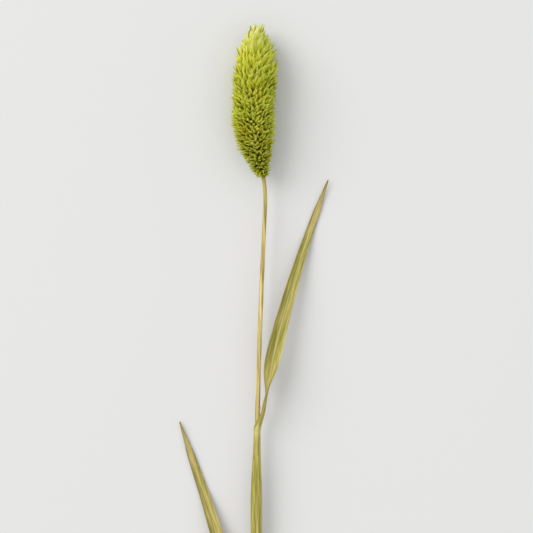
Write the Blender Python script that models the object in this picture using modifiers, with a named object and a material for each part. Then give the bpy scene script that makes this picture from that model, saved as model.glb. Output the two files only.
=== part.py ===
"""Preserved canary grass stem, lying on a surface.

One cut culm with its dense seed head and its two upper leaves. Metres, +Z up. The culm lies along Y
with the seed head towards +Y, and the surface that it lies on is Z = 0.
"""

import math
import random

import bmesh
import bpy
import numpy as np
from mathutils import Matrix, Vector

MM = 0.001
UP = Vector((0, 0, 1))
FIT_GAP = 0.3 * MM
MERGE_DISTANCE = 0.001 * MM

# Culm
CUT_Y = -130 * MM
HEAD_BASE_Y = 83.6 * MM
CUT_HEIGHT = 1.95 * MM
HEAD_HEIGHT = 6.1 * MM
STEM_X = 4.0 * MM
CULM_RADIUS_AT_CUT = 1.0 * MM
CULM_RADIUS_AT_HEAD = 0.6 * MM
CULM_BOW = 3.2 * MM
NECK_TURN = math.radians(-10.5)
NECK_DROP = 5 * MM
NECK_SOFTNESS = 1.6 * MM
NECK_STATION = 2 * MM
NECK_STATIONS = 4
NODE_Y = -59 * MM
NODE_SWELL = 0.38 * MM
NODE_HALF_LENGTH = 1.5 * MM
NODE_STATION = 1.2 * MM
NODE_STATIONS = 3
TENON_LENGTH = 5 * MM
STATION = 6 * MM

# Seed head: from 0 at its base to 1 at its tip, the radius over the tips of its scales, the radius
# of the core that they stand out of, and how far they lean out from the head's axis
HEAD_LENGTH = 48 * MM
HEAD_BOW = 2.1 * MM
BOW_RISE = 1.3
BOW_FALL = 2.6
HEAD_HEADING = math.radians(-3.2)
TIP_RADII = (
    (0.00, 1.9 * MM),
    (0.10, 4.1 * MM),
    (0.20, 6.0 * MM),
    (0.35, 7.1 * MM),
    (0.55, 7.1 * MM),
    (0.72, 6.6 * MM),
    (0.84, 5.5 * MM),
    (0.94, 3.3 * MM),
    (1.00, 0.9 * MM),
)
CORE_RADII = (
    (0.00, 1.5 * MM),
    (0.10, 2.6 * MM),
    (0.20, 4.1 * MM),
    (0.35, 5.2 * MM),
    (0.55, 5.4 * MM),
    (0.72, 4.7 * MM),
    (0.84, 3.2 * MM),
    (0.92, 1.2 * MM),
)
SCALE_TILTS = (
    (0.00, math.radians(82)),
    (0.15, math.radians(68)),
    (0.40, math.radians(55)),
    (0.65, math.radians(44)),
    (0.82, math.radians(28)),
    (0.92, math.radians(9)),
)
CORE_STATIONS = 15
CORE_RESOLUTION = 4
SPIKELETS = 256
FIRST_SPIKELET = 0.012
LAST_SPIKELET = 0.915
GOLDEN_ANGLE = math.pi * (3 - math.sqrt(5))
SCALE_SUNK = 0.9 * MM
SCALE_KEEL = 0.55 * MM
SCALE_HALF_WIDTH = 0.68 * MM
SCALE_BELLY = 0.55
SCALE_LONGEST = 5 * MM
SCALE_SPREAD = math.radians(12)
REACH_STEP = 0.1 * MM
LENGTH_JITTER = 0.12
TILT_JITTER = math.radians(6)
ROLL_JITTER = math.radians(40)
SEED = 7
SURFACE_CUTTER = (40 * MM, 80 * MM, 10 * MM)

# Leaves
LEAF_THICKNESS = 0.6 * MM
LEAF_COLUMNS = 10
SHEATH_SWEEP = math.radians(325)
SHEATH_SLACK = 0.05 * MM
BLADE_SWEEP = math.radians(75)
BLADE_ROWS = 30
BLADE_TURNED = 0.4
OPENING_LENGTH = 5 * MM
GROUND_CLEARANCE = 0.05 * MM
WIDEST = 0.30
START_WIDTH = 0.5
TIP_WIDTH = 0.14
TAPER_POWER = 1.2


def clear_scene():
    for thing in list(bpy.data.objects):
        bpy.data.objects.remove(thing)


def new_collection(name):
    collection = bpy.data.collections.new(name)
    bpy.context.scene.collection.children.link(collection)
    return collection


def plant_material(name, colour, roughness):
    material = bpy.data.materials.new(name)
    material.use_nodes = True
    shader = material.node_tree.nodes["Principled BSDF"]
    shader.inputs["Base Color"].default_value = (*colour, 1.0)
    shader.inputs["Roughness"].default_value = roughness
    shader.inputs["Metallic"].default_value = 0.0
    return material


def smooth_step(t):
    t = min(max(t, 0.0), 1.0)
    return t * t * (3 - 2 * t)


def read_table(table, f):
    places, values = zip(*table)
    return float(np.interp(f, places, values))


def add_object(name, data, collection, material=None):
    thing = bpy.data.objects.new(name, data)
    collection.objects.link(thing)
    if material:
        data.materials.append(material)
    return thing


def tube(name, points, radii, collection, resolution=2):
    """A round bar along the points, with its own radius at each of them."""
    curve = bpy.data.curves.new(name, "CURVE")
    curve.dimensions = "3D"
    curve.bevel_depth = 1.0
    curve.bevel_resolution = resolution
    curve.use_fill_caps = True
    spline = curve.splines.new("POLY")
    spline.points.add(len(points) - 1)
    for place, point, radius in zip(spline.points, points, radii):
        place.co = (*point, 1.0)
        place.radius = radius
    return add_object(name, curve, collection)


def block(name, size, collection):
    mesh = bpy.data.meshes.new(name)
    edit = bmesh.new()
    bmesh.ops.create_cube(edit, size=1.0, matrix=Matrix.Diagonal((*size, 1.0)))
    edit.to_mesh(mesh)
    edit.free()
    return add_object(name, mesh, collection)


def as_mesh(source, name, collection, material=None):
    """A mesh object in the place of a curve or of an object with modifiers, which is removed."""
    is_curve = source.type == "CURVE"
    bpy.context.view_layer.update()
    evaluated = source.evaluated_get(bpy.context.evaluated_depsgraph_get())
    mesh = bpy.data.meshes.new_from_object(evaluated)
    made = add_object(name, mesh, collection, material)
    made.matrix_world = source.matrix_world
    bpy.data.objects.remove(source)
    if is_curve:
        weld_caps(mesh)
    return made


def weld_caps(mesh):
    edit = bmesh.new()
    edit.from_mesh(mesh)
    bmesh.ops.remove_doubles(edit, verts=edit.verts, dist=MERGE_DISTANCE)
    edit.to_mesh(mesh)
    edit.free()


def boolean(target, operation, cutter=None, collection=None):
    modifier = target.modifiers.new(operation.title(), "BOOLEAN")
    modifier.operation = operation
    modifier.solver = "MANIFOLD"
    if collection:
        modifier.operand_type = "COLLECTION"
        modifier.collection = collection
    else:
        modifier.object = cutter


def mark_as_cutter(thing):
    thing.hide_render = True
    thing.display_type = "WIRE"


# The culm's own line: a long bow, with a soft turn to the left just under the seed head


def culm_centre(y):
    along = (y - CUT_Y) / (HEAD_BASE_Y - CUT_Y)
    past_neck = (y - (HEAD_BASE_Y - NECK_DROP)) / NECK_SOFTNESS
    turned = NECK_SOFTNESS * math.log1p(math.exp(past_neck))
    x = STEM_X - CULM_BOW * math.sin(math.pi * along) + math.tan(NECK_TURN) * turned
    return Vector((x, y, CUT_HEIGHT + (HEAD_HEIGHT - CUT_HEIGHT) * along))


def culm_direction(y):
    step = 0.1 * MM
    return (culm_centre(y + step) - culm_centre(y - step)).normalized()


def culm_radius(y):
    """Tapers towards the head, and swells at the node."""
    along = (y - CUT_Y) / (HEAD_BASE_Y - CUT_Y)
    plain = CULM_RADIUS_AT_CUT + (CULM_RADIUS_AT_HEAD - CULM_RADIUS_AT_CUT) * along
    return plain + NODE_SWELL * math.exp(-(((y - NODE_Y) / NODE_HALF_LENGTH) ** 2))


def build_culm(collection, material):
    """The culm from its cut end to its tenon, which sits in the seed head's socket."""
    count = round((HEAD_BASE_Y - CUT_Y) / STATION)
    stations = set(np.linspace(CUT_Y, HEAD_BASE_Y, count + 1))
    stations |= {NODE_Y + k * NODE_STATION for k in range(-NODE_STATIONS, NODE_STATIONS + 1)}
    stations |= {HEAD_BASE_Y - k * NECK_STATION for k in range(1, NECK_STATIONS + 1)}
    stations = sorted(stations)
    points = [culm_centre(y) for y in stations]
    radii = [culm_radius(y) for y in stations]
    points.append(head_axis(TENON_LENGTH / HEAD_LENGTH))
    radii.append(CULM_RADIUS_AT_HEAD)
    culm = tube("culm", points, radii, collection)
    culm.data.materials.append(material)


# Seed head: a core covered with spikelets, each a pair of pointed scales


def bow_share(f):
    """From 0 at both ends of the head to 1 where it is bowed most."""
    f = min(max(f, 0.0), 1.0)
    peak = BOW_RISE / (BOW_RISE + BOW_FALL)
    return (f / peak) ** BOW_RISE * ((1 - f) / (1 - peak)) ** BOW_FALL


def head_axis(f):
    """The head's own axis, from 0 at its base to 1 at its tip, bowed to the left in its lower half."""
    chord = Vector((math.sin(HEAD_HEADING), math.cos(HEAD_HEADING), 0))
    left = Vector((-chord.y, chord.x, 0))
    base = culm_centre(HEAD_BASE_Y)
    return base + chord * (HEAD_LENGTH * f) + left * (HEAD_BOW * bow_share(f))


def head_frame(f):
    """Centre, direction, sideways and upward axes of the head at f."""
    step = 0.01
    along = (head_axis(f + step) - head_axis(f - step)).normalized()
    side = along.cross(UP).normalized()
    return head_axis(f), along, side, side.cross(along)


def spikelet_places():
    """Where along the head each spikelet grows, so that they cover its surface evenly."""
    fine = np.linspace(FIRST_SPIKELET, LAST_SPIKELET, 200)
    area = np.cumsum([read_table(TIP_RADII, f) for f in fine])
    share = (np.arange(SPIKELETS) + 0.5) / SPIKELETS
    return np.interp(share * area[-1], area, fine)


def scale_mesh():
    """A three-sided boat of unit length: keel at +X, open back on X = 0, root at 0 and tip at Z = 1."""
    mesh = bpy.data.meshes.new("scale")
    edit = bmesh.new()
    bmesh.ops.create_uvsphere(edit, u_segments=3, v_segments=2, radius=1.0)
    ring = [v for v in edit.verts if abs(v.co.z) < 0.5]
    root, tip = sorted((v for v in edit.verts if abs(v.co.z) > 0.5), key=lambda v: v.co.z)
    inner_x, outer_x, half_width = -0.5, 1.0, math.sin(math.pi / 3)
    for vertex in ring:
        keel = (vertex.co.x - inner_x) / (outer_x - inner_x)
        vertex.co = (keel, vertex.co.y / half_width, SCALE_BELLY)
    middle = 1 / 3
    root.co = (middle, 0, 0)
    tip.co = (middle, 0, 1)
    edit.to_mesh(mesh)
    edit.free()
    return mesh


def scale_reach(f, tilt):
    """How far a scale that leans by tilt runs from the core out to the line of the tips."""
    reach = REACH_STEP
    while reach < SCALE_LONGEST:
        out = read_table(CORE_RADII, f) + reach * math.sin(tilt)
        if out > read_table(TIP_RADII, f + reach * math.cos(tilt) / HEAD_LENGTH):
            break
        reach += REACH_STEP
    return reach


def build_scales(collection):
    """Two scales for each spikelet, the spikelets a golden angle apart round the core."""
    draw = random.Random(SEED)
    mesh = scale_mesh()
    for number, f in enumerate(spikelet_places()):
        centre, along, side, up = head_frame(f)
        angle = number * GOLDEN_ANGLE
        outward = side * math.cos(angle) + up * math.sin(angle)
        plain_tilt = read_table(SCALE_TILTS, f)
        tilt = plain_tilt + draw.uniform(-TILT_JITTER, TILT_JITTER)
        heading = along * math.cos(tilt) + outward * math.sin(tilt)
        roll = Matrix.Rotation(draw.uniform(-ROLL_JITTER, ROLL_JITTER), 3, heading)
        across = roll @ heading.cross(outward).normalized()
        root = centre + outward * read_table(CORE_RADII, f) - heading * SCALE_SUNK
        longer = 1 + draw.uniform(-LENGTH_JITTER, LENGTH_JITTER)
        length = scale_reach(f, plain_tilt) * longer + SCALE_SUNK
        for turn in (1, -1):
            leaning = heading * math.cos(SCALE_SPREAD) + across * turn * math.sin(SCALE_SPREAD)
            aim = leaning.normalized()
            keel = (across * turn - aim * aim.dot(across * turn)).normalized()
            edge = aim.cross(keel)
            axes = Matrix((keel * SCALE_KEEL, edge * SCALE_HALF_WIDTH, aim * length)).transposed()
            scale = add_object(f"scale_{number}_{turn}", mesh, collection)
            scale.matrix_world = Matrix.Translation(root) @ axes.to_4x4()


def build_seed_head(collection, cutters, material):
    fractions = np.linspace(CORE_RADII[0][0], CORE_RADII[-1][0], CORE_STATIONS)
    points = [head_axis(f) for f in fractions]
    radii = [read_table(CORE_RADII, f) for f in fractions]
    core = as_mesh(tube("core", points, radii, collection, CORE_RESOLUTION), "core", collection)
    scales = new_collection("scales")
    build_scales(scales)
    boolean(core, "UNION", collection=scales)
    head = as_mesh(core, "seed_head", collection, material)
    for scale in list(scales.objects):
        bpy.data.objects.remove(scale)
    bpy.data.collections.remove(scales)

    surface = block("surface_cutter", SURFACE_CUTTER, cutters)
    middle = head_axis(0.5)
    surface.location = (middle.x, middle.y, -SURFACE_CUTTER[2] / 2)
    ends = (-FIT_GAP / HEAD_LENGTH, (TENON_LENGTH + FIT_GAP) / HEAD_LENGTH)
    socket_radius = CULM_RADIUS_AT_HEAD + FIT_GAP
    socket = tube("socket", [head_axis(f) for f in ends], [socket_radius] * 2, cutters)
    socket = as_mesh(socket, "socket_cutter", cutters)
    for cutter in (surface, socket):
        mark_as_cutter(cutter)
        boolean(head, "DIFFERENCE", cutter=cutter)


# Leaves: a sheath rolled round the culm, which opens into a flat blade


class Leaf:
    """One leaf's driving sizes, and the line that its midrib follows."""

    def __init__(self, name, foot_y, ligule_y, side, length, width, headings, arch, contact, curl):
        self.name = name
        self.foot_y = foot_y
        self.ligule_y = ligule_y
        self.side = math.radians(side)
        self.length = length
        self.width = width
        self.headings = [math.radians(angle) for angle in headings]
        self.arch = arch
        self.contact = contact
        self.curl = curl

    def bore(self):
        """The sheath's inner radius, which clears the culm all along it."""
        return culm_radius(self.foot_y) + FIT_GAP + SHEATH_SLACK

    def outward(self, y):
        along = culm_direction(y)
        side = along.cross(UP).normalized()
        return side * math.cos(self.side) + side.cross(along) * math.sin(self.side)

    def sheath_rows(self):
        """Midrib point, inward direction, width and sweep for each row of the sheath."""
        count = max(2, round((self.ligule_y - self.foot_y) / STATION))
        for y in np.linspace(self.foot_y, self.ligule_y, count + 1):
            outward = self.outward(y)
            middle = culm_centre(y) + outward * self.bore()
            yield middle, -outward, self.bore() * SHEATH_SWEEP, SHEATH_SWEEP

    def blade_height(self, v, start_height):
        """Arches down from the ligule to touch the surface at contact, and curls up at the tip."""
        lift = min(v / self.contact, 1.0)
        ground = LEAF_THICKNESS + GROUND_CLEARANCE
        height = ground + (start_height - ground) * (1 - smooth_step(lift))
        height += self.arch * 4 * lift * (1 - lift)
        return height + self.curl * max(0.0, (v - self.contact) / (1 - self.contact)) ** 2

    def blade_width(self, v):
        """Widens from the ligule to WIDEST, then tapers to the tip."""
        if v < WIDEST:
            return self.width * (START_WIDTH + (1 - START_WIDTH) * smooth_step(v / WIDEST))
        past = (v - WIDEST) / (1 - WIDEST)
        return self.width * (1 - (1 - TIP_WIDTH) * past ** TAPER_POWER)

    def blade_rows(self):
        """The same for each row of the blade, from the ligule to the tip."""
        outward = self.outward(self.ligule_y)
        point = culm_centre(self.ligule_y) + outward * self.bore()
        start_height = point.z
        places = np.linspace(0, 1, len(self.headings))
        for row in range(1, BLADE_ROWS + 1):
            v = row / BLADE_ROWS
            heading = float(np.interp(v, places, self.headings))
            step = self.length / BLADE_ROWS
            point = point + Vector((math.sin(heading), math.cos(heading), 0)) * step
            opened = smooth_step(v * self.length / OPENING_LENGTH)
            sweep = SHEATH_SWEEP + (BLADE_SWEEP - SHEATH_SWEEP) * opened
            width = self.blade_width(v)
            width += (self.bore() * SHEATH_SWEEP - width) * (1 - opened)
            turned = smooth_step(v / BLADE_TURNED)
            inward = (-outward * (1 - turned) + UP * turned).normalized()
            yield Vector((point.x, point.y, self.blade_height(v, start_height))), inward, width, sweep


def build_leaf(leaf, collection, material):
    rows = [*leaf.sheath_rows(), *leaf.blade_rows()]
    mesh = bpy.data.meshes.new(leaf.name)
    edit = bmesh.new()
    bmesh.ops.create_grid(edit, x_segments=LEAF_COLUMNS, y_segments=len(rows) - 1, size=1.0)
    middles = [row[0] for row in rows]
    for vertex in edit.verts:
        across = vertex.co.x / 2
        row = round((vertex.co.y + 1) / 2 * (len(rows) - 1))
        middle, inward, width, sweep = rows[row]
        along = middles[min(row + 1, len(rows) - 1)] - middles[max(row - 1, 0)]
        along.normalize()
        inward = (inward - along * inward.dot(along)).normalized()
        sideways = along.cross(inward)
        radius = width / sweep
        turn = across * sweep
        vertex.co = middle + inward * radius * (1 - math.cos(turn)) + sideways * radius * math.sin(turn)
    bmesh.ops.triangulate(edit, faces=edit.faces)
    edit.to_mesh(mesh)
    edit.free()
    blade = add_object(leaf.name, mesh, collection, material)
    solidify = blade.modifiers.new("Thickness", "SOLIDIFY")
    solidify.thickness = LEAF_THICKNESS
    solidify.offset = -1


LEAVES = (
    Leaf(
        "flag_leaf",
        foot_y=NODE_Y + 3 * MM,
        ligule_y=4 * MM,
        side=25,
        length=82 * MM,
        width=4.6 * MM,
        headings=(6, 12, 16, 19, 20),
        arch=2.2 * MM,
        contact=0.8,
        curl=1.2 * MM,
    ),
    Leaf(
        "lower_leaf",
        foot_y=CUT_Y,
        ligule_y=-82 * MM,
        side=165,
        length=92 * MM,
        width=5.4 * MM,
        headings=(-5, -13, -17, -19, -18),
        arch=3.0 * MM,
        contact=0.75,
        curl=0.8 * MM,
    ),
)


def main():
    clear_scene()
    stem = new_collection("canary_grass_stem")
    cutters = new_collection("cutters")
    straw = plant_material("straw_culm", (0.42, 0.34, 0.12), 0.55)
    lime = plant_material("lime_scale", (0.36, 0.37, 0.05), 0.7)
    olive = plant_material("olive_leaf", (0.38, 0.34, 0.12), 0.6)
    build_culm(stem, straw)
    build_seed_head(stem, cutters, lime)
    for leaf in LEAVES:
        build_leaf(leaf, stem, olive)


main()
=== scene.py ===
"""Looks of the preserved canary grass stem: its fine scales, straw, leaves, light and camera."""

import math
import random

import bpy
import numpy as np
from mathutils import Matrix, Vector


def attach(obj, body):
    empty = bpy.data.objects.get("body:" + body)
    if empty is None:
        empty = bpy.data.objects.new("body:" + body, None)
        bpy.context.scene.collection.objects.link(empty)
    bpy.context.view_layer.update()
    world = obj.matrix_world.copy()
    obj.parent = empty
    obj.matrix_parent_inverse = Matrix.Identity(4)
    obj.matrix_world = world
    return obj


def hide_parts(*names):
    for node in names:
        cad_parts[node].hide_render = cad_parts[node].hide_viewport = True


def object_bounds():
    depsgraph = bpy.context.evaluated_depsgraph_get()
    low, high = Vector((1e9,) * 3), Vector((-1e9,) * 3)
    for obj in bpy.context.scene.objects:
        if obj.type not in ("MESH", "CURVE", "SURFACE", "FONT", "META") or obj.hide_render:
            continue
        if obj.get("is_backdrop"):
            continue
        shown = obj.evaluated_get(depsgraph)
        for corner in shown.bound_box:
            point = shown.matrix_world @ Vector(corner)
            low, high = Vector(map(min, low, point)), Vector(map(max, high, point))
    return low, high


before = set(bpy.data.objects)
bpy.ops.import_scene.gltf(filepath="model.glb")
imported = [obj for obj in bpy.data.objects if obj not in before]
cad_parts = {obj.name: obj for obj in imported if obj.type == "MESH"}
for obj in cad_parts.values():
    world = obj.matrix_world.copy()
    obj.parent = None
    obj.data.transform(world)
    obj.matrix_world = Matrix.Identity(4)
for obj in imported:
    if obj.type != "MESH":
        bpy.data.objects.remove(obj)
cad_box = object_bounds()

MM = 0.001
UP = Vector((0, 0, 1))

# The construction's own values, in metres: culm
CUT_Y = -130 * MM
HEAD_BASE_Y = 83.6 * MM
CUT_HEIGHT = 1.95 * MM
HEAD_HEIGHT = 6.1 * MM
STEM_X = 4.0 * MM
CULM_RADIUS_AT_CUT = 1.0 * MM
CULM_RADIUS_AT_HEAD = 0.6 * MM
CULM_BOW = 3.2 * MM
NECK_TURN = math.radians(-10.5)
NECK_DROP = 5 * MM
NECK_SOFTNESS = 1.6 * MM
NODE_Y = -59 * MM
NODE_SWELL = 0.38 * MM
NODE_HALF_LENGTH = 1.5 * MM
TENON_LENGTH = 5 * MM
FIT_GAP = 0.3 * MM

# The construction's own values: seed head
HEAD_LENGTH = 48 * MM
HEAD_BOW = 2.1 * MM
BOW_RISE = 1.3
BOW_FALL = 2.6
HEAD_HEADING = math.radians(-3.2)
TIP_RADII = (
    (0.00, 1.9 * MM),
    (0.10, 4.1 * MM),
    (0.20, 6.0 * MM),
    (0.35, 7.1 * MM),
    (0.55, 7.1 * MM),
    (0.72, 6.6 * MM),
    (0.84, 5.5 * MM),
    (0.94, 3.3 * MM),
    (1.00, 0.9 * MM),
)
CORE_RADII = (
    (0.00, 1.5 * MM),
    (0.10, 2.6 * MM),
    (0.20, 4.1 * MM),
    (0.35, 5.2 * MM),
    (0.55, 5.4 * MM),
    (0.72, 4.7 * MM),
    (0.84, 3.2 * MM),
    (0.92, 1.2 * MM),
)
FIRST_SPIKELET = 0.012
LAST_SPIKELET = 0.915
LOWER_SHARE = 0.4
GOLDEN_ANGLE = math.pi * (3 - math.sqrt(5))
SCALE_LONGEST = 5 * MM
REACH_STEP = 0.1 * MM

# The construction's own values: leaves
LEAF_THICKNESS = 0.6 * MM
SHEATH_SWEEP = math.radians(325)
SHEATH_SLACK = 0.05 * MM
BLADE_SWEEP = math.radians(75)
BLADE_TURNED = 0.4
GROUND_CLEARANCE = 0.05 * MM
WIDEST = 0.30
START_WIDTH = 0.5
TIP_WIDTH = 0.14
TAPER_POWER = 1.2

# Fine scales, with tables that run from the head's base at 0 to its tip at 1
SPIKELETS = 830
SCALE_TILTS = (
    (0.00, math.radians(99)),
    (0.08, math.radians(91)),
    (0.15, math.radians(85)),
    (0.30, math.radians(76)),
    (0.45, math.radians(64)),
    (0.60, math.radians(50)),
    (0.75, math.radians(31)),
    (0.85, math.radians(18)),
    (0.92, math.radians(1)),
)
SCALE_ROWS = (0.0, 0.35, 0.58, 0.77, 0.91, 1.0)
SCALE_COLUMNS = (-1.0, -0.55, 0.0, 0.55, 1.0)
SCALE_WIDTHS = ((0.0, 1.1 * MM), (0.35, 1.25 * MM), (0.55, 1.4 * MM), (0.75, 1.6 * MM), (0.9, 2.1 * MM))
SCALE_CROWDING = ((0.0, 1.2), (0.3, 1.0), (0.5, 0.91), (0.78, 0.68), (0.88, 0.4))
PLAIN_WIDTH = 1.0 * MM
SCALE_BELLY = 0.25 * MM
SCALE_SHELL = 0.06 * MM
SCALE_LENGTH = 5.5 * MM
SCALE_TIP_SHIFT = 0.5 * MM
SCALE_BEND = 0.4 * MM
SCALE_SUNK = 2.4 * MM
SCALE_SPREADS = (
    (0.0, math.radians(7)),
    (0.4, math.radians(7)),
    (0.7, math.radians(11)),
    (0.92, math.radians(6)),
)
LENGTH_JITTER = 0.4
REACHES_MORE = (
    (0.0, 0.1 * MM),
    (0.2, 0.5 * MM),
    (0.5, 0.5 * MM),
    (0.66, 1.5 * MM),
    (0.8, 1.6 * MM),
    (0.9, 1.3 * MM),
)
LEANS = ((0.5, 0.0), (0.7, 0.14), (0.92, 0.2))
WIDTH_JITTER = 0.18
TILT_JITTERS = ((0.0, math.radians(14)), (0.12, math.radians(7)), (1.0, math.radians(6)))
SPLAY_JITTERS = (
    (0.0, math.radians(32)),
    (0.5, math.radians(32)),
    (0.7, math.radians(26)),
    (0.9, math.radians(12)),
)
ROLL_JITTER = math.radians(18)
TURN_JITTER = math.radians(7)
PLACE_JITTER = 0.4 * MM
TONE_JITTER = 0.3
LEAST_HEIGHT = 0.03 * MM
CORE_INSET = 1.3 * MM
CORE_LEAST_RADIUS = 0.7 * MM
SEED = 11
SMOOTH_ANGLE = math.radians(50)

# Fine culm
NEARLY_CLOSED = 0.02
WALL_SHARE = 0.45
HOLLOW_DEPTH = 5 * MM
RIB_DEPTH = 0.022
LONG_WAVE = 9 * MM
SHORT_WAVE = 3.1 * MM
RING_HALF_LENGTH = 0.8 * MM
SHEATHED_SWELL = 0.32 * MM
SHEATHED_FROM_Y = -88 * MM
SHEATHED_RUN = 12 * MM
CULM_ROUGHNESS = 1.056

# Fine leaves
LEAF_SHEET = 0.2 * MM
SNUG_GAP = 0.12 * MM
MOUTH_HUG = 24 * MM
FOOT_HUG = 8 * MM
FINE_OPENING_LENGTH = 7 * MM
ROOT_DROP = 2.2 * MM
LIGULE_GAP = 0.01 * MM
LIGULE_SHEET = 0.04 * MM
LIGULE_FLARE = 0.1 * MM
LIGULE_WAVE = 0.06 * MM
LIGULE_HALF_SWEEP = math.radians(85)
LIGULE_FOOT = 0.5 * MM
LIGULE_HEIGHT = 8.0 * MM
LIGULE_LEAST_HEIGHT = 0.3 * MM
LIGULE_ROOM = 0.07 * MM
MOUTH_ROOM = 0.08 * MM
MOUTH_ROOM_RISE = 1.5 * MM

# Camera and light
IMAGE_SIZE = 533
PIXELS_PER_MM = 3.2
TIP_PIXEL_Y = 24
CAMERA_LENS = 85
SENSOR_WIDTH = 36
LOOK_X = 4 * MM


def smooth_step(t):
    t = min(max(t, 0.0), 1.0)
    return t * t * (3 - 2 * t)


def read_table(table, f):
    places, values = zip(*table)
    return float(np.interp(f, places, values))


# The lines of the construction


def culm_centre(y):
    along = (y - CUT_Y) / (HEAD_BASE_Y - CUT_Y)
    past_neck = (y - (HEAD_BASE_Y - NECK_DROP)) / NECK_SOFTNESS
    turned = NECK_SOFTNESS * math.log1p(math.exp(past_neck))
    x = STEM_X - CULM_BOW * math.sin(math.pi * along) + math.tan(NECK_TURN) * turned
    return Vector((x, y, CUT_HEIGHT + (HEAD_HEIGHT - CUT_HEIGHT) * along))


def culm_direction(y):
    step = 0.1 * MM
    return (culm_centre(y + step) - culm_centre(y - step)).normalized()


def culm_radius(y):
    along = (y - CUT_Y) / (HEAD_BASE_Y - CUT_Y)
    plain = CULM_RADIUS_AT_CUT + (CULM_RADIUS_AT_HEAD - CULM_RADIUS_AT_CUT) * along
    return plain + NODE_SWELL * math.exp(-(((y - NODE_Y) / NODE_HALF_LENGTH) ** 2))


def bow_share(f):
    f = min(max(f, 0.0), 1.0)
    peak = BOW_RISE / (BOW_RISE + BOW_FALL)
    return (f / peak) ** BOW_RISE * ((1 - f) / (1 - peak)) ** BOW_FALL


def head_axis(f):
    chord = Vector((math.sin(HEAD_HEADING), math.cos(HEAD_HEADING), 0))
    left = Vector((-chord.y, chord.x, 0))
    base = culm_centre(HEAD_BASE_Y)
    return base + chord * (HEAD_LENGTH * f) + left * (HEAD_BOW * bow_share(f))


def head_frame(f):
    """Centre, direction, sideways and upward axes of the head at f."""
    step = 0.01
    along = (head_axis(f + step) - head_axis(f - step)).normalized()
    side = along.cross(UP).normalized()
    return head_axis(f), along, side, side.cross(along)


# Meshes


def make_piece(name, points, faces, material, slot, smooth_angle=None, **values):
    """A mesh piece on the root body, with one number for each point under each of the names in values."""
    mesh = bpy.data.meshes.new(name)
    mesh.from_pydata([tuple(p) for p in points], [], [tuple(f) for f in faces])
    mesh.materials.append(material)
    mesh.shade_smooth()
    if smooth_angle:
        mesh.set_sharp_from_angle(angle=smooth_angle)
    for key, numbers in values.items():
        layer = mesh.attributes.new(key, "FLOAT", "POINT")
        layer.data.foreach_set("value", np.asarray(numbers, dtype=np.float32).ravel())
    piece = bpy.data.objects.new(name, mesh)
    bpy.context.scene.collection.objects.link(piece)
    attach(piece, "root")
    return piece


def grid_quads(rows, columns):
    """Faces of a grid of points in rows."""
    faces = []
    for low in range(0, (rows - 1) * columns, columns):
        for column in range(columns - 1):
            here, after = low + column, low + column + 1
            faces.append((here, after, after + columns, here + columns))
    return faces


def capped_tube(rows, sides):
    """Faces of a closed tube whose rings run clockwise as seen from its start."""
    faces = []
    for low in range(0, (rows - 1) * sides, sides):
        for k in range(sides):
            here, after = low + k, low + (k + 1) % sides
            faces.append((here, here + sides, after + sides, after))
    faces.append(tuple(range(sides)))
    faces.append(tuple(reversed(range((rows - 1) * sides, rows * sides))))
    return faces


def grid_normals(grid):
    """A unit normal at each point of a grid of points."""
    along = np.gradient(grid, axis=0)
    across = np.gradient(grid, axis=1)
    normal = np.cross(across, along)
    length = np.linalg.norm(normal, axis=2, keepdims=True)
    return normal / np.maximum(length, 1e-12)


def closed_shell(grid, thickness):
    """The grid and a second one thickness behind it, with their rims joined. Returns points, faces."""
    rows, columns = grid.shape[:2]
    behind = grid - grid_normals(grid) * np.reshape(thickness, (-1, 1, 1))
    points = np.concatenate([grid.reshape(-1, 3), behind.reshape(-1, 3)])
    count = rows * columns
    faces = grid_quads(rows, columns)
    faces += [tuple(reversed([corner + count for corner in face])) for face in list(faces)]
    rim = list(range(columns))
    rim += [row * columns + columns - 1 for row in range(1, rows)]
    rim += [(rows - 1) * columns + column for column in range(columns - 2, -1, -1)]
    rim += [row * columns for row in range(rows - 2, 0, -1)]
    for here, after in zip(rim, rim[1:] + rim[:1]):
        faces.append((after, here, here + count, after + count))
    return points, faces


# Materials


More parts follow.
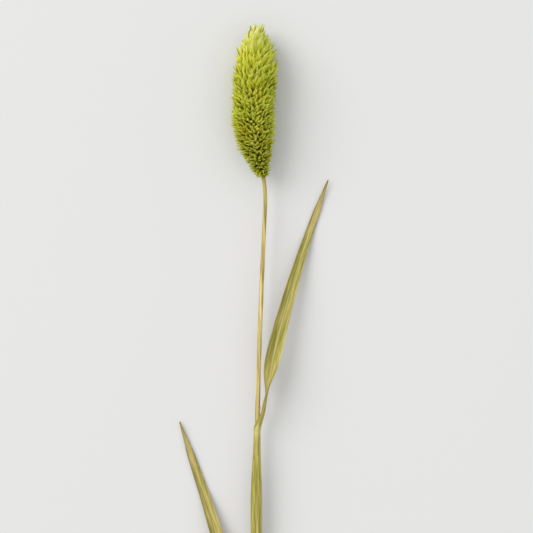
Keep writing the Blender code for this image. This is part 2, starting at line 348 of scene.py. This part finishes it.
class Nodes:
    """Builds one material's node tree."""

    def __init__(self, name):
        self.material = bpy.data.materials.new(name)
        self.material.use_nodes = True
        self.tree = self.material.node_tree
        self.shader = self.tree.nodes["Principled BSDF"]

    def add(self, kind, **settings):
        node = self.tree.nodes.new(kind)
        for key, value in settings.items():
            setattr(node, key, value)
        return node

    def put(self, socket, value):
        if isinstance(value, bpy.types.NodeSocket):
            self.tree.links.new(value, socket)
        elif isinstance(value, tuple) and len(socket.default_value) == 4:
            socket.default_value = (*value, 1.0)
        else:
            socket.default_value = value

    def number(self, name):
        return self.add("ShaderNodeAttribute", attribute_name=name).outputs["Fac"]

    def maths(self, operation, a, b=0.0, clamp=False):
        node = self.add("ShaderNodeMath", operation=operation, use_clamp=clamp)
        self.put(node.inputs[0], a)
        self.put(node.inputs[1], b)
        return node.outputs[0]

    def span(self, value, low, high, to_low=0.0, to_high=1.0):
        """Maps low to to_low and high to to_high, smoothly, and holds them outside."""
        node = self.add("ShaderNodeMapRange", interpolation_type="SMOOTHSTEP")
        for key, number in zip(("Value", "From Min", "From Max", "To Min", "To Max"),
                               (value, low, high, to_low, to_high)):
            self.put(node.inputs[key], number)
        return node.outputs["Result"]

    def ramp(self, value, stops):
        node = self.add("ShaderNodeValToRGB")
        elements = node.color_ramp.elements
        while len(elements) < len(stops):
            elements.new(0.5)
        for element, (place, colour) in zip(elements, stops):
            element.position = place
            element.color = (*colour, 1.0)
        self.put(node.inputs["Fac"], value)
        return node.outputs["Color"]

    def blend(self, factor, a, b, kind="MIX"):
        node = self.add("ShaderNodeMix", data_type="RGBA", blend_type=kind)
        self.put(node.inputs["Factor"], factor)
        self.put(node.inputs[6], a)
        self.put(node.inputs[7], b)
        return node.outputs[2]

    def shift(self, colour, hue=0.5, saturation=1.0, value=1.0):
        node = self.add("ShaderNodeHueSaturation")
        for key, number in (("Hue", hue), ("Saturation", saturation), ("Value", value)):
            self.put(node.inputs[key], number)
        self.put(node.inputs["Color"], colour)
        return node.outputs["Color"]

    def place(self, stretch=(1, 1, 1)):
        """Object coordinates, stretched along each axis."""
        node = self.add("ShaderNodeMapping")
        node.inputs["Scale"].default_value = stretch
        self.put(node.inputs["Vector"], self.add("ShaderNodeTexCoord").outputs["Object"])
        return node.outputs["Vector"]

    def sideways(self):
        """Object X, to the right."""
        node = self.add("ShaderNodeSeparateXYZ")
        self.put(node.inputs["Vector"], self.place())
        return node.outputs["X"]

    def own(self, x, y, z=0.0):
        """A piece's own coordinates, put together from three numbers."""
        node = self.add("ShaderNodeCombineXYZ")
        for key, number in zip("XYZ", (x, y, z)):
            self.put(node.inputs[key], number)
        return node.outputs["Vector"]

    def flat(self, stretch):
        """A leaf's own flat coordinates in mm, stretched along it."""
        return self.own(self.number("mm_across"), self.maths("MULTIPLY", self.number("mm_along"), stretch))

    def noise(self, vector, scale, detail=3.0):
        node = self.add("ShaderNodeTexNoise")
        node.inputs["Scale"].default_value = scale
        node.inputs["Detail"].default_value = detail
        self.put(node.inputs["Vector"], vector)
        return node.outputs["Fac"]

    def bump(self, height, distance, strength=1.0):
        node = self.add("ShaderNodeBump")
        node.inputs["Strength"].default_value = strength
        node.inputs["Distance"].default_value = distance
        self.put(node.inputs["Height"], height)
        self.put(self.shader.inputs["Normal"], node.outputs["Normal"])

    def finish(self, colour, roughness, specular=0.3):
        self.put(self.shader.inputs["Base Color"], colour)
        self.put(self.shader.inputs["Roughness"], roughness)
        self.shader.inputs["Specular IOR Level"].default_value = specular
        return self.material


def scale_material():
    """Saturated lime with olive roots, green nerves, and pale cream margins, tips and odd whole scales.
    Painted shade darkens the lower head and a band round its middle and turns its right side greener; the
    pale margins, keel and tips are partly painted highlight.
    """
    n = Nodes("lime_scales")
    along, tone, place = n.number("along"), n.number("tone"), n.number("place")
    across = n.maths("ABSOLUTE", n.number("across"))
    # Lower on the head the scales and their nerves are darker: partly their own olive colour, partly painted
    # shade, as if the lower head lay in shade under light from above.
    low = n.ramp(along, (
        (0.00, (0.075, 0.100, 0.001)),
        (0.45, (0.170, 0.200, 0.001)),
        (0.72, (0.440, 0.465, 0.003)),
        (0.90, (0.680, 0.670, 0.020)),
        (1.00, (0.800, 0.765, 0.190)),
    ))
    high = n.ramp(along, (
        (0.00, (0.680, 0.660, 0.004)),
        (0.45, (0.740, 0.730, 0.008)),
        (0.72, (0.750, 0.740, 0.014)),
        (0.90, (0.760, 0.745, 0.060)),
        (1.00, (0.780, 0.765, 0.340)),
    ))
    colour = n.blend(n.span(place, 0.42, 0.88), low, high)
    rusty = n.maths("MULTIPLY", n.span(tone, -0.45, -0.8), n.span(along, 0.85, 0.45, 0.0, 0.55))
    colour = n.blend(rusty, colour, (0.420, 0.280, 0.012))
    nerve = n.maths("ABSOLUTE", n.maths("SUBTRACT", across, 0.38))
    nerve = n.span(nerve, 0.18, 0.04, 0.0, 0.5)
    colour = n.blend(nerve, colour, n.blend(place, (0.200, 0.270, 0.001), (0.530, 0.590, 0.004)))
    # Painted highlight: the pale margins, keel and tips, paler still at the top of the head, are partly the
    # scales' own cream and partly painted highlight standing in for the gloss that the finish leaves out
    # (specular 0).
    margin_and_highlight = n.span(across, 0.72, 1.0, 0.0, 0.85)
    keel = n.span(across, 0.2, 0.0, 0.0, 0.4)
    pale = n.maths("ADD", n.maths("MAXIMUM", margin_and_highlight, keel), n.span(tone, 0.1, 1.0, 0.0, 0.3), True)
    pale = n.maths("ADD", pale, n.span(place, 0.8, 0.9, 0.0, 0.45), True)
    pale = n.maths("MULTIPLY", pale, n.span(along, 0.35, 0.9))
    tips = n.blend(n.span(place, 0.6, 0.92), (0.810, 0.775, 0.120), (0.780, 0.765, 0.280))
    colour = n.blend(pale, colour, tips)
    grain = n.noise(n.place(), 1400, 2.0)
    lengthwise, each_scale = n.maths("MULTIPLY", along, 0.35), n.maths("MULTIPLY", tone, 9.0)
    stripes = n.noise(n.own(across, lengthwise, each_scale), 5.0, 2.0)
    # Painted shade: the scales' brightness follows their place on the head. It is darker low down as if lit
    # from above, has a painted shadow band around place 0.57, and is slightly darker towards the tip. Tone
    # and the stripes add the scales' own random variation.
    light = n.maths("ADD", n.span(place, 0.05, 0.35, 0.76, 0.98), n.maths("MULTIPLY", tone, 0.09))
    from_shadow_band = n.maths("ABSOLUTE", n.maths("SUBTRACT", place, 0.57))
    light = n.maths("SUBTRACT", light, n.span(from_shadow_band, 0.2, 0.05, 0.0, 0.05))
    light = n.maths("SUBTRACT", light, n.span(place, 0.84, 0.92, 0.0, 0.06))
    light = n.maths("ADD", light, n.span(stripes, 0.35, 0.65, -0.09, 0.09))
    patches = n.noise(n.place(), 110, 1.0)
    hue = n.maths("ADD", n.span(patches, 0.35, 0.65, 0.497, 0.512), n.maths("MULTIPLY", tone, 0.005))
    # Painted shade tint: the head's right side is turned greener, as if it lay in shade under green
    # reflected light.
    hue = n.maths("ADD", hue, n.span(n.sideways(), 0.5 * MM, 7 * MM, 0.0, 0.014))
    hue = n.maths("ADD", hue, n.span(place, 0.76, 0.92, 0.0, 0.006))
    colour = n.shift(colour, hue=hue, value=light)
    n.shader.inputs["Subsurface Weight"].default_value = 0.5
    n.shader.inputs["Subsurface Radius"].default_value = (1.0, 1.0, 0.2)
    n.shader.inputs["Subsurface Scale"].default_value = 0.9 * MM
    n.bump(grain, 0.05 * MM, 0.4)
    return n.finish(colour, 0.7, 0.0)


def core_material():
    n = Nodes("olive_core")
    grain = n.noise(n.place(), 900, 3.0)
    colour = n.ramp(grain, ((0.3, (0.060, 0.080, 0.002)), (0.7, (0.140, 0.170, 0.004))))
    return n.finish(colour, 0.9, 0.1)


def straw_material():
    """Straw with fine lengthwise streaks, partly its own stripes and partly painted light and shade, greener
    towards the head and browner at the node.
    """
    n = Nodes("straw_culm")
    height = n.number("height")
    streaks = n.noise(n.place((1, 0.02, 1)), 3200, 3.0)
    blotches = n.noise(n.place((1, 0.15, 1)), 260, 2.0)
    # The streak ramps run from the straw's shaded side to its highlight. Their random lengthwise bands are
    # partly the straw's own stripes and partly painted light and shade.
    straw = n.ramp(streaks, (
        (0.36, (0.260, 0.180, 0.030)),
        (0.50, (0.480, 0.370, 0.110)),
        (0.64, (0.690, 0.560, 0.250)),
    ))
    green = n.ramp(streaks, (
        (0.36, (0.160, 0.150, 0.012)),
        (0.50, (0.340, 0.310, 0.050)),
        (0.64, (0.530, 0.470, 0.140)),
    ))
    greener = n.span(height, 0.88, 0.97, 0.0, 0.7)
    greener = n.maths("ADD", greener, n.span(blotches, 0.4, 0.65, -0.15, 0.25), True)
    colour = n.blend(greener, straw, green)
    colour = n.blend(n.span(height, 0.965, 1.0, 0.0, 0.75), colour, (0.330, 0.200, 0.030))
    ring = n.number("ring")
    colour = n.blend(n.maths("MULTIPLY", ring, 0.75), colour, (0.160, 0.095, 0.022))
    colour = n.blend(n.number("pith"), colour, (0.620, 0.560, 0.360))
    n.bump(streaks, 0.08 * MM, 0.5)
    return n.finish(colour, 0.5, 0.4)


def leaf_material(name, dryness):
    """Dried grass leaf: pale veins, darker stripes between them, a straw tip and pale margins."""
    n = Nodes(name)
    along, across, veins = n.number("along"), n.number("across"), n.number("vein")
    fine = n.noise(n.flat(0.03), 6.0, 3.0)
    broad = n.noise(n.flat(0.04), 1.3, 2.0)
    streaks = n.maths("ADD", n.maths("MULTIPLY", fine, 0.45), n.maths("MULTIPLY", broad, 0.55))
    patches = n.noise(n.flat(0.3), 0.16, 3.0)
    olive = n.ramp(streaks, (
        (0.38, (0.150, 0.145, 0.014)),
        (0.50, (0.290, 0.260, 0.045)),
        (0.62, (0.450, 0.400, 0.110)),
    ))
    straw = n.ramp(streaks, (
        (0.38, (0.230, 0.170, 0.035)),
        (0.50, (0.390, 0.315, 0.090)),
        (0.62, (0.570, 0.480, 0.190)),
    ))
    edge = n.span(n.maths("ABSOLUTE", across), 0.84, 1.0, 0.0, 0.6)
    dry = n.maths("ADD", n.span(along, 0.5, 1.0, dryness, 0.8), edge)
    dry = n.maths("ADD", dry, n.span(patches, 0.4, 0.65, -0.15, 0.4), True)
    colour = n.blend(dry, olive, straw)
    colour = n.shift(colour, value=n.span(veins, 0.0, 1.0, 0.84, 1.16))
    midrib = n.span(n.maths("ABSOLUTE", across), 0.1, 0.02, 0.0, 0.6)
    colour = n.blend(midrib, colour, (0.560, 0.500, 0.190))
    collar = n.span(n.maths("ABSOLUTE", along), 0.03, 0.008, 0.0, 0.4)
    colour = n.blend(collar, colour, (0.580, 0.540, 0.220))
    n.bump(n.maths("ADD", veins, streaks), 0.05 * MM, 0.6)
    return n.finish(colour, 0.5, 0.3)


def ligule_material():
    n = Nodes("ligule_membrane")
    streaks = n.noise(n.place((1, 0.1, 1)), 2200, 3.0)
    colour = n.ramp(streaks, ((0.3, (0.560, 0.500, 0.270)), (0.7, (0.780, 0.730, 0.500))))
    return n.finish(colour, 0.5, 0.3)


# Seed head


def core_radius(f):
    return max(read_table(CORE_RADII, f) - CORE_INSET, CORE_LEAST_RADIUS)


def build_core(material):
    """The stalk and packed scale roots that show as shade between the scales."""
    sides = 24
    fractions = np.linspace(0.0, CORE_RADII[-1][0], 30)
    points = []
    for f in fractions:
        centre, _, side, up = head_frame(f)
        for k in range(sides):
            turn = 2 * math.pi * k / sides
            points.append(centre + (side * math.cos(turn) + up * math.sin(turn)) * core_radius(f))
    faces = capped_tube(len(fractions), sides)
    return make_piece("head_core", points, faces, material, "scales")


def boat_grid():
    """A folded, pointed scale: X towards its keel in widths, Y across its flat sides, Z from root to tip."""
    z, v = np.meshgrid(SCALE_ROWS, SCALE_COLUMNS, indexing="ij")
    profile = (1.01 - z) ** 0.85 * (z + 0.12) ** 0.5
    profile /= profile.max()
    x = 0.5 * profile * (1 - 2 * abs(v) ** 1.5) * PLAIN_WIDTH
    y = np.sign(v) * np.sin(0.5 * math.pi * np.minimum(abs(v) * 1.25, 1.0)) * profile * SCALE_BELLY
    return np.stack([x, y, z * SCALE_LENGTH], axis=2), z, v


def spikelet_places():
    fine = np.linspace(FIRST_SPIKELET, LAST_SPIKELET, 200)
    area = np.cumsum([read_table(TIP_RADII, f) * read_table(SCALE_CROWDING, f) for f in fine])
    share = (np.arange(SPIKELETS) + 0.5) / SPIKELETS
    return np.interp(share * area[-1], area, fine)


def scale_reach(f, tilt):
    """How far a scale that leans by tilt runs from the core out to the line of the tips."""
    reach = REACH_STEP
    while reach < SCALE_LONGEST:
        out = read_table(CORE_RADII, f) + reach * math.sin(tilt)
        if out > read_table(TIP_RADII, f + reach * math.cos(tilt) / HEAD_LENGTH):
            break
        reach += REACH_STEP
    return reach


def build_scales(material):
    """Two thin folded scales for each spikelet, the spikelets a golden angle apart round the head."""
    draw = random.Random(SEED)
    grid, z, v = boat_grid()
    shell, shell_faces = closed_shell(grid, np.full(len(grid), SCALE_SHELL))
    shell_faces = np.array(shell_faces)
    share = shell[:, 2] / SCALE_LENGTH
    bend, shift = SCALE_BEND * share ** 2, SCALE_TIP_SHIFT * np.maximum(share, 0) ** 1.6
    points, faces, tones, places = [], [], [], []
    for number, f in enumerate(spikelet_places()):
        f = min(max(f + draw.uniform(-PLACE_JITTER, PLACE_JITTER) / HEAD_LENGTH, 0.0), LAST_SPIKELET)
        centre, along, side, up = head_frame(f)
        angle = number * GOLDEN_ANGLE + draw.uniform(-TURN_JITTER, TURN_JITTER)
        outward = side * math.cos(angle) + up * math.sin(angle)
        plain_tilt = read_table(SCALE_TILTS, f)
        tilt = plain_tilt + draw.uniform(-1, 1) * read_table(TILT_JITTERS, f)
        splay = draw.uniform(-1, 1) * read_table(SPLAY_JITTERS, f)
        upward = along * math.cos(splay) + along.cross(outward) * math.sin(splay)
        heading = upward * math.cos(tilt) + outward * math.sin(tilt)
        heading = (heading + side * read_table(LEANS, f)).normalized()
        roll = Matrix.Rotation(draw.uniform(-ROLL_JITTER, ROLL_JITTER), 3, heading)
        across = roll @ heading.cross(outward).normalized()
        root = centre + outward * read_table(CORE_RADII, f) - heading * SCALE_SUNK
        cut_short = LENGTH_JITTER * (1 - draw.random() ** 2)
        reach = scale_reach(f, plain_tilt) * (1 - cut_short) + read_table(REACHES_MORE, f)
        length = (reach + SCALE_SUNK) / SCALE_LENGTH
        plain_width = read_table(SCALE_WIDTHS, f) / PLAIN_WIDTH
        spread = read_table(SCALE_SPREADS, f)
        tone = draw.uniform(-1, 1)
        for turn in (1, -1):
            aim = (heading * math.cos(spread) + across * turn * math.sin(spread)).normalized()
            keel = (across * turn - aim * aim.dot(across * turn)).normalized()
            edge = aim.cross(keel)
            wide = plain_width * (1 + draw.uniform(-WIDTH_JITTER, WIDTH_JITTER))
            axes = np.array([keel * wide, edge, aim * length])
            bent = shell.copy()
            bent[:, 0] += shift / wide
            bent[:, 1] += bend * turn
            faces.append(shell_faces + len(points) * len(shell))
            points.append(bent @ axes + np.array(root))
            tones.append(min(max(tone + draw.uniform(-TONE_JITTER, TONE_JITTER), -1), 1))
            places.append(f)
    count = len(points)
    points = np.concatenate(points)
    points[:, 2] = np.maximum(points[:, 2], LEAST_HEIGHT)
    along = np.tile(np.concatenate([z.ravel(), z.ravel()]), count)
    across = np.tile(np.concatenate([v.ravel(), v.ravel()]), count)
    middle = int(np.searchsorted(places, LOWER_SHARE))
    for name, first, last in (("lower_scales", 0, middle), ("upper_scales", middle, count)):
        here = slice(first * len(shell), last * len(shell))
        piece = make_piece(
            name, points[here], np.concatenate(faces[:last - first]), material, "scales", SMOOTH_ANGLE,
            along=along[here], across=across[here],
            tone=np.repeat(tones[first:last], len(shell)),
            place=np.repeat(places[first:last], len(shell)),
        )
        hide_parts("seed_head")


# Culm


def build_culm(material):
    """A ribbed straw, hollow where it is cut."""
    sides, ribs, step, bevel = 32, 12, 0.9 * MM, 0.1 * MM
    draw = random.Random(SEED)
    phases = [draw.uniform(0, 2 * math.pi) for _ in range(3)]
    bottom, end = CUT_Y + HOLLOW_DEPTH, HEAD_BASE_Y + TENON_LENGTH - FIT_GAP
    rows = [(bottom, NEARLY_CLOSED, 1.0), (bottom, WALL_SHARE, 1.0), (CUT_Y + bevel, WALL_SHARE, 1.0)]
    rows += [(y, 1.0, 0.0) for y in np.arange(CUT_Y, end, step)]
    rows.append((end, NEARLY_CLOSED, 0.0))
    points, heights, rings, piths = [], [], [], []
    for y, share, pith in rows:
        if y < HEAD_BASE_Y:
            centre, along = culm_centre(y), culm_direction(y)
        else:
            f = (y - HEAD_BASE_Y) / HEAD_LENGTH
            centre, along = head_axis(f), head_frame(f)[1]
        side = along.cross(UP).normalized()
        up = side.cross(along)
        radius = culm_radius(min(y, HEAD_BASE_Y))
        radius = (radius + SHEATHED_SWELL * smooth_step((SHEATHED_FROM_Y - y) / SHEATHED_RUN)) * share
        waves = 0.02 * math.sin(y / LONG_WAVE + phases[0]) + 0.012 * math.sin(y / SHORT_WAVE + phases[1])
        radius *= 1 + waves
        ring = math.exp(-(((y - NODE_Y) / RING_HALF_LENGTH) ** 2))
        for k in range(sides):
            turn = 2 * math.pi * k / sides
            rib = 1 + RIB_DEPTH * math.cos(ribs * turn + phases[2]) * (1 - pith)
            out = (side * math.cos(turn) + up * math.sin(turn)) * radius * rib
            points.append(centre + out)
            heights.append((y - CUT_Y) / (HEAD_BASE_Y - CUT_Y))
            rings.append(ring)
            piths.append(pith)
    faces = capped_tube(len(rows), sides)
    piece = make_piece(
        "straw_culm", points, faces, material, "culm", SMOOTH_ANGLE,
        height=heights, ring=rings, pith=piths,
    )
    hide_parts("culm")


# Leaves


class Leaf:
    """One leaf's driving sizes, and the line that its midrib follows."""

    def __init__(self, name, foot_y, ligule_y, side, length, width, headings, arch, contact, curl):
        self.name = name
        self.foot_y = foot_y
        self.ligule_y = ligule_y
        self.side = math.radians(side)
        self.length = length
        self.width = width
        self.headings = [math.radians(angle) for angle in headings]
        self.arch = arch
        self.contact = contact
        self.curl = curl

    def bore(self):
        return culm_radius(self.foot_y) + FIT_GAP + SHEATH_SLACK

    def outward(self, y):
        along = culm_direction(y)
        side = along.cross(UP).normalized()
        return side * math.cos(self.side) + side.cross(along) * math.sin(self.side)

    def blade_height(self, v, start_height):
        lift = min(v / self.contact, 1.0)
        ground = LEAF_THICKNESS + GROUND_CLEARANCE
        height = ground + (start_height - ground) * (1 - smooth_step(lift))
        height += self.arch * 4 * lift * (1 - lift)
        return height + self.curl * max(0.0, (v - self.contact) / (1 - self.contact)) ** 2

    def blade_width(self, v):
        if v < WIDEST:
            return self.width * (START_WIDTH + (1 - START_WIDTH) * smooth_step(v / WIDEST))
        past = (v - WIDEST) / (1 - WIDEST)
        return self.width * (1 - (1 - TIP_WIDTH) * past ** TAPER_POWER)

    def offset(self, y, hug):
        """From the solid's inner face out to the thin leaf's, or in to the culm where the leaf hugs it."""
        snug = culm_radius(y) + SNUG_GAP - self.bore()
        return (LEAF_THICKNESS - LEAF_SHEET) * (1 - hug) + snug * hug

    def rows(self, step):
        """Midrib point, inward direction, width, sweep, place along the leaf and offset, for each row."""
        at_node = self.foot_y > CUT_Y
        start = self.foot_y - ROOT_DROP if at_node else self.foot_y
        ys = np.linspace(start, self.ligule_y, round((self.ligule_y - start) / step))
        for y in ys:
            outward = self.outward(y)
            middle = culm_centre(y) + outward * self.bore()
            hug = 1 - smooth_step((self.ligule_y - y) / MOUTH_HUG)
            if at_node:
                hug = max(hug, 1 - smooth_step((y - self.foot_y) / FOOT_HUG))
            place = (y - self.ligule_y) / (self.ligule_y - start)
            offset = self.offset(y, hug)
            yield middle, -outward, (self.bore() + offset) * SHEATH_SWEEP, SHEATH_SWEEP, place, offset
        outward = self.outward(self.ligule_y)
        point = culm_centre(self.ligule_y) + outward * self.bore()
        start_height = point.z
        places = np.linspace(0, 1, len(self.headings))
        count = round(self.length / step)
        for row in range(1, count + 1):
            v = row / count
            heading = float(np.interp(v, places, self.headings))
            point = point + Vector((math.sin(heading), math.cos(heading), 0)) * (self.length / count)
            opened = smooth_step(v * self.length / FINE_OPENING_LENGTH)
            sweep = SHEATH_SWEEP + (BLADE_SWEEP - SHEATH_SWEEP) * opened
            offset = self.offset(self.ligule_y, 1 - opened)
            rolled = (culm_radius(self.ligule_y) + SNUG_GAP) * SHEATH_SWEEP
            width = rolled + (self.blade_width(v) + offset * sweep - rolled) * opened
            turned = smooth_step(v / BLADE_TURNED)
            inward = (-outward * (1 - turned) + UP * turned).normalized()
            middle = Vector((point.x, point.y, self.blade_height(v, start_height)))
            yield middle, inward, width, sweep, v, offset


def clear_the_culm(points, leaf):
    """Moves both faces of a leaf out of the culm and its ligule, where the leaf unrolls beside them."""
    for pair in zip(*np.split(points, 2)):
        y = pair[0][1]
        centre = np.array(culm_centre(y))
        near = min(pair, key=lambda point: np.linalg.norm(point - centre))
        out = near - centre
        away = float(np.linalg.norm(out))
        past_mouth = smooth_step((y - leaf.ligule_y) / MOUTH_ROOM_RISE)
        least = culm_radius(y) * CULM_ROUGHNESS + LIGULE_ROOM + MOUTH_ROOM * past_mouth
        if away < least:
            shift = out * (least / away - 1)
            for point in pair:
                point += shift


def build_leaf(leaf, material):
    """A thin ribbed leaf, whose sheath and blade follow the construction's."""
    columns, veins, step, rib, point = 73, 18, 0.9 * MM, 0.035 * MM, 0.12
    rows = list(leaf.rows(step))
    middles = [row[0] for row in rows]
    wide, long = [], np.arange(len(rows)) * step / MM
    grid = np.zeros((len(rows), columns, 3))
    across = np.linspace(-1, 1, columns)
    for row, (middle, inward, width, sweep, place, offset) in enumerate(rows):
        along = middles[min(row + 1, len(rows) - 1)] - middles[max(row - 1, 0)]
        along.normalize()
        inward = (inward - along * inward.dot(along)).normalized()
        sideways = along.cross(inward)
        width *= min(1.0, max(0.06, (1 - place) / point)) ** 0.7
        radius = width / sweep
        middle = middle - inward * offset
        wide.append(width / MM)
        for column, share in enumerate(across):
            turn = share / 2 * sweep
            raised = rib * math.cos(veins * math.pi * share) * min(1.0, width / leaf.width)
            reach = radius + raised
            lifted = inward * (radius - reach * math.cos(turn))
            grid[row, column] = middle + lifted + sideways * reach * math.sin(turn)
    points, faces = closed_shell(grid, np.full(len(rows), LEAF_SHEET))
    clear_the_culm(points, leaf)
    points[:, 2] = np.maximum(points[:, 2], LEAST_HEIGHT)
    places = np.repeat([row[4] for row in rows], columns)
    shares = np.tile(across, len(rows))
    vein = 0.5 + 0.5 * np.cos(veins * math.pi * shares)
    mm_across = shares * np.repeat(wide, columns) / 2
    piece = make_piece(
        f"{leaf.name}_ribbed", points, faces, material, "leaf", SMOOTH_ANGLE,
        along=np.tile(places, 2), across=np.tile(shares, 2), vein=np.tile(vein, 2),
        mm_along=np.tile(np.repeat(long, columns), 2), mm_across=np.tile(mm_across, 2),
    )
    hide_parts(leaf.name)


def build_ligule(leaf, material):
    """The thin pale tongue between the culm and the blade, where the sheath ends."""
    draw = random.Random(SEED)
    columns, rows = 25, 20
    torn = [draw.uniform(0, 0.5) for _ in range(columns)]
    grid = np.zeros((rows, columns, 3))
    across = np.linspace(-1, 1, columns)
    for column, share in enumerate(across):
        top = LIGULE_HEIGHT * (1 - abs(share) ** 1.6) * (1 - 0.25 * torn[column]) + LIGULE_LEAST_HEIGHT
        for row in range(rows):
            y = leaf.ligule_y - LIGULE_FOOT + (LIGULE_FOOT + top) * row / (rows - 1)
            centre, along = culm_centre(y), culm_direction(y)
            past = (y - leaf.ligule_y + LIGULE_FOOT) / (LIGULE_FOOT + LIGULE_HEIGHT)
            past = min(max(past, 0.0), 1.0) ** 4
            radius = culm_radius(y) * CULM_ROUGHNESS + LIGULE_GAP + LIGULE_FLARE * past
            turn = leaf.side + share * LIGULE_HALF_SWEEP
            side = along.cross(UP).normalized()
            out = side * math.cos(turn) + side.cross(along) * math.sin(turn)
            radius += LIGULE_WAVE * past * math.sin(share * 11 + row * 0.5)
            grid[row, column] = centre + out * radius
    points, faces = closed_shell(grid, np.full(rows, LIGULE_SHEET))
    make_piece(f"{leaf.name}_ligule", points, faces, material, "leaf", SMOOTH_ANGLE)


LEAVES = (
    Leaf(
        "flag_leaf",
        foot_y=NODE_Y + 3 * MM,
        ligule_y=4 * MM,
        side=25,
        length=82 * MM,
        width=4.6 * MM,
        headings=(6, 12, 16, 19, 20),
        arch=2.2 * MM,
        contact=0.8,
        curl=1.2 * MM,
    ),
    Leaf(
        "lower_leaf",
        foot_y=CUT_Y,
        ligule_y=-82 * MM,
        side=165,
        length=92 * MM,
        width=5.4 * MM,
        headings=(-5, -13, -17, -19, -18),
        arch=3.0 * MM,
        contact=0.75,
        curl=0.8 * MM,
    ),
)


# Floor, light and camera


def build_floor():
    bpy.ops.mesh.primitive_plane_add(size=24, location=(0, 0, -0.02 * MM))
    floor = bpy.context.object
    floor.name = "floor"
    n = Nodes("pale_floor")
    floor.data.materials.append(n.finish((0.62, 0.62, 0.62), 0.9, 0.1))
    floor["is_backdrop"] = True


def add_light(name, place, target, size, power, colour):
    data = bpy.data.lights.new(name, "AREA")
    data.shape = "DISK"
    data.size = size
    data.energy = power
    data.color = colour
    light = bpy.data.objects.new(name, data)
    bpy.context.scene.collection.objects.link(light)
    light.location = place
    light.rotation_mode = "QUATERNION"
    light.rotation_quaternion = (Vector(target) - Vector(place)).to_track_quat("-Z", "Y")


def build_lights():
    world = bpy.data.worlds.new("studio")
    world.use_nodes = True
    background = world.node_tree.nodes["Background"]
    background.inputs["Color"].default_value = (1.0, 1.0, 1.0, 1.0)
    background.inputs["Strength"].default_value = 0.91
    bpy.context.scene.world = world
    add_light("key", (-2.2, 1.3, 2.0), (0, 0.08, 0), 2.6, 72, (1.0, 0.99, 0.96))


def build_camera():
    """Straight above the stem, with its head away from the viewer, as the photo shows it upright."""
    frame_width = IMAGE_SIZE / PIXELS_PER_MM * MM
    distance = frame_width * CAMERA_LENS / SENSOR_WIDTH
    tip = head_axis(1.0)
    data = bpy.data.cameras.new("camera")
    data.lens = CAMERA_LENS
    data.sensor_width = SENSOR_WIDTH
    data.clip_start = 0.01
    camera = bpy.data.objects.new("camera", data)
    bpy.context.scene.collection.objects.link(camera)
    middle_y = tip.y - (IMAGE_SIZE / 2 - TIP_PIXEL_Y) / PIXELS_PER_MM * MM
    camera.location = (LOOK_X, middle_y, HEAD_HEIGHT + distance)
    bpy.context.scene.camera = camera


def main():
    bpy.context.scene.view_settings.view_transform = "Standard"
    build_camera()
    build_core(core_material())
    build_scales(scale_material())
    build_culm(straw_material())
    membrane = ligule_material()
    for leaf, dryness in zip(LEAVES, (0.1, 0.35)):
        build_leaf(leaf, leaf_material(f"{leaf.name}_material", dryness))
        build_ligule(leaf, membrane)
    build_floor()
    build_lights()


main()

boxes = {"cad": cad_box, "visual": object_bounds()}
{key: [list(corner) for corner in box] for key, box in boxes.items()}
